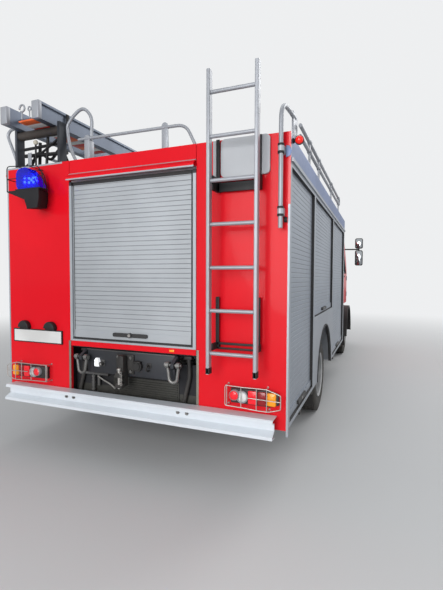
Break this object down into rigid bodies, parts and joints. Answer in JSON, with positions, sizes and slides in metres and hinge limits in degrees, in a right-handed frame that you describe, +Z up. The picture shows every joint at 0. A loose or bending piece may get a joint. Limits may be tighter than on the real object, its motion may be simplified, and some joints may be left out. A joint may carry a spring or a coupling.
{
  "type": "fire engine",
  "caption": "Two-axle crew-cab fire engine with roller shutters on the sides and rear, ladders, tilting cab, hinged doors, steered rolling wheels and a rising light mast.",
  "frame": {"origin": "on the ground under the middle of the whole vehicle's length and width", "axes": "+X to the vehicle's right, +Y forwards, +Z up"},
  "size_m": [2.87, 6.98, 2.8439],
  "materials": {
    "red_paint": "gloss signal red",
    "white_paint": "gloss white",
    "aluminium": "anodised",
    "shutter_silver": "satin silver",
    "chassis_black": "semi-gloss black",
    "black_plastic": "textured",
    "grey_plastic": "textured",
    "engine_metal": "rough",
    "steel": "satin",
    "tyre": "matt",
    "rim_paint": "silver",
    "glass": "clear tint",
    "blue_lens": "translucent blue",
    "red_lens": "translucent red",
    "clear_lens": "clear",
    "seat_fabric": "woven",
    "board_white": "satin white"
  },
  "bodies": {
    "chassis": {"beacon": "blue_lens", "blank_boards": "board_white", "body_floor": "aluminium", "body_roof": "red_paint", "body_walls": "red_paint", "cab_steps": "black_plastic", "chassis_frame": "chassis_black", "chassis_tanks": "chassis_black", "driveline": "engine_metal", "front_axle": "chassis_black", "front_bumper": "white_paint", "front_mudguards": "black_plastic", "hand_rails": "white_paint", "headlamps": "clear_lens", "ladder_gantry": "aluminium", "leaf_springs": "chassis_black", "mast_base": "aluminium", "rear_axle": "chassis_black", "rear_brackets": "chassis_black", "rear_bumper": "white_paint", "rear_ladder": "aluminium", "rear_lamps": "red_lens", "rear_panels": "red_paint", "rear_shutter": "shutter_silver", "roof_ladder": "aluminium", "side_frames": "aluminium", "side_shutters": "shutter_silver", "tow_gear": "steel", "tow_recess": "chassis_black"},
    "cab": {"cab_shell": "red_paint", "cab_glass": "glass", "grille": "black_plastic", "mirrors": "black_plastic", "cab_seats": "seat_fabric", "dashboard": "grey_plastic", "light_bar": "blue_lens"},
    "door_front_left": {"cab_door_front_left": "red_paint", "door_glass_front_left": "glass"},
    "door_front_right": {"cab_door_front_right": "red_paint", "door_glass_front_right": "glass"},
    "door_rear_left": {"cab_door_rear_left": "red_paint", "door_glass_rear_left": "glass"},
    "door_rear_right": {"cab_door_rear_right": "red_paint", "door_glass_rear_right": "glass"},
    "knuckle_left": {"steering_knuckle_left": "steel"},
    "knuckle_right": {"steering_knuckle_right": "steel"},
    "tie": {"track_rod": "steel"},
    "wheel_front_left": {"front_rim_left": "rim_paint", "front_tyre_left": "tyre"},
    "wheel_front_right": {"front_rim_right": "rim_paint", "front_tyre_right": "tyre"},
    "wheels_rear_left": {"rear_rims_left": "rim_paint", "rear_tyres_left": "tyre"},
    "wheels_rear_right": {"rear_rims_right": "rim_paint", "rear_tyres_right": "tyre"},
    "mast_tube_1": {"mast_stage_1": "aluminium"},
    "mast_tube_2": {"mast_stage_2": "aluminium"},
    "mast_lamps": {"mast_head": "black_plastic"}
  },
  "joints": [
    {"name": "cab_tilt", "type": "hinge", "parent": "chassis", "child": "cab", "pos_m": [0, 3.22, 0.58], "axis": [-1, 0, 0], "range_deg": [0, 50]},
    {"name": "door_front_left_swing", "type": "hinge", "parent": "cab", "child": "door_front_left", "pos_m": [-1.11, 3.19, 1.5], "axis": [0, 0, -1], "range_deg": [0, 70]},
    {"name": "door_front_right_swing", "type": "hinge", "parent": "cab", "child": "door_front_right", "pos_m": [1.11, 3.19, 1.5], "axis": [0, 0, 1], "range_deg": [0, 70]},
    {"name": "door_rear_left_swing", "type": "hinge", "parent": "cab", "child": "door_rear_left", "pos_m": [-1.11, 2.23, 1.5], "axis": [0, 0, -1], "range_deg": [0, 70]},
    {"name": "door_rear_right_swing", "type": "hinge", "parent": "cab", "child": "door_rear_right", "pos_m": [1.11, 2.23, 1.5], "axis": [0, 0, 1], "range_deg": [0, 70]},
    {"name": "steering_left", "type": "hinge", "parent": "chassis", "child": "knuckle_left", "pos_m": [-0.88, 2.175, 0.39], "axis": [0, 0, 1], "range_deg": [-35, 35]},
    {"name": "steering_right", "type": "hinge", "parent": "chassis", "child": "knuckle_right", "pos_m": [0.88, 2.175, 0.39], "axis": [0, 0, 1], "range_deg": [-35, 35]},
    {"name": "tie_turn", "type": "hinge", "parent": "knuckle_left", "child": "tie", "pos_m": [-0.88, 1.915, 0.3], "axis": [0, 0, 1], "range_deg": [-35, 35]},
    {"name": "roll_front_left", "type": "hinge", "parent": "knuckle_left", "child": "wheel_front_left", "pos_m": [-1.065, 2.175, 0.39], "axis": [1, 0, 0], "continuous": true},
    {"name": "roll_front_right", "type": "hinge", "parent": "knuckle_right", "child": "wheel_front_right", "pos_m": [1.065, 2.175, 0.39], "axis": [1, 0, 0], "continuous": true},
    {"name": "roll_rear_left", "type": "hinge", "parent": "chassis", "child": "wheels_rear_left", "pos_m": [-0.967, -1.455, 0.39], "axis": [1, 0, 0], "continuous": true},
    {"name": "roll_rear_right", "type": "hinge", "parent": "chassis", "child": "wheels_rear_right", "pos_m": [0.967, -1.455, 0.39], "axis": [1, 0, 0], "continuous": true},
    {"name": "mast_lift_1", "type": "slide", "parent": "chassis", "child": "mast_tube_1", "axis": [0, 0, 1], "range_m": [0, 1.2]},
    {"name": "mast_lift_2", "type": "slide", "parent": "mast_tube_1", "child": "mast_tube_2", "axis": [0, 0, 1], "range_m": [0, 1.2]},
    {"name": "mast_turn", "type": "hinge", "parent": "mast_tube_2", "child": "mast_lamps", "pos_m": [0, 0.455, 2.6], "axis": [0, 0, 1], "range_deg": [-170, 170]}
  ],
  "couplings": [
    {"joint": "steering_right", "follows": "steering_left", "ratio": 1},
    {"joint": "tie_turn", "follows": "steering_left", "ratio": -1},
    {"joint": "mast_lift_2", "follows": "mast_lift_1", "ratio": 1}
  ]
}
